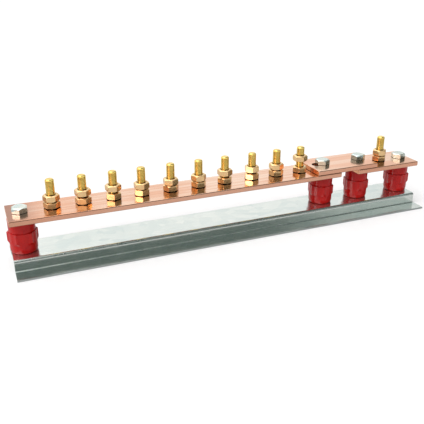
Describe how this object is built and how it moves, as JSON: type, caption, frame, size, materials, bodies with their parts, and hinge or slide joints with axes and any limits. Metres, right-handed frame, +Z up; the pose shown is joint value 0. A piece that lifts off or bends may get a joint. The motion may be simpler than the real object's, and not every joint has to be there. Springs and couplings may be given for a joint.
{
  "type": "earth terminal bar",
  "caption": "Copper earth bar with a row of brass screw terminals and a bolted disconnecting link, on red stand-off insulators over a folded galvanised channel base.",
  "frame": {"origin": "middle of the base's underside, on the plane that the flanges rest on", "axes": "+X along the bar towards the linked end bar, +Y across it away from the viewer, +Z up along the terminal screws"},
  "size_m": [0.5251, 0.09, 0.0919],
  "materials": {
    "copper": "drawn and polished copper",
    "brass": "bright turned brass",
    "red_moulding": "glossy red moulded polyester",
    "zinc_steel": "bright zinc plated steel",
    "galvanised_steel": "hot-dip galvanised sheet"
  },
  "bodies": {
    "root": {"bar_bolt_1": "zinc_steel", "bar_bolt_2": "zinc_steel", "bar_bolt_3": "zinc_steel", "bar_bolt_4": "zinc_steel", "base_bush_1": "brass", "base_bush_2": "brass", "base_bush_3": "brass", "base_bush_4": "brass", "base_channel": "galvanised_steel", "base_screw_1": "zinc_steel", "base_screw_2": "zinc_steel", "base_screw_3": "zinc_steel", "base_screw_4": "zinc_steel", "clamp_nut_01": "brass", "clamp_nut_02": "brass", "clamp_nut_03": "brass", "clamp_nut_04": "brass", "clamp_nut_05": "brass", "clamp_nut_06": "brass", "clamp_nut_07": "brass", "clamp_nut_08": "brass", "clamp_nut_09": "brass", "clamp_nut_10": "brass", "clamp_nut_11": "brass", "disconnect_link": "copper", "end_bar": "copper", "insulator_1": "red_moulding", "insulator_2": "red_moulding", "insulator_3": "red_moulding", "insulator_4": "red_moulding", "lock_nut_01": "brass", "lock_nut_02": "brass", "lock_nut_03": "brass", "lock_nut_04": "brass", "lock_nut_05": "brass", "lock_nut_06": "brass", "lock_nut_07": "brass", "lock_nut_08": "brass", "lock_nut_09": "brass", "lock_nut_10": "brass", "lock_nut_11": "brass", "main_bar": "copper", "terminal_screw_01": "brass", "terminal_screw_02": "brass", "terminal_screw_03": "brass", "terminal_screw_04": "brass", "terminal_screw_05": "brass", "terminal_screw_06": "brass", "terminal_screw_07": "brass", "terminal_screw_08": "brass", "terminal_screw_09": "brass", "terminal_screw_10": "brass", "terminal_screw_11": "brass", "top_bush_1": "brass", "top_bush_2": "brass", "top_bush_3": "brass", "top_bush_4": "brass"}
  },
  "joints": []
}
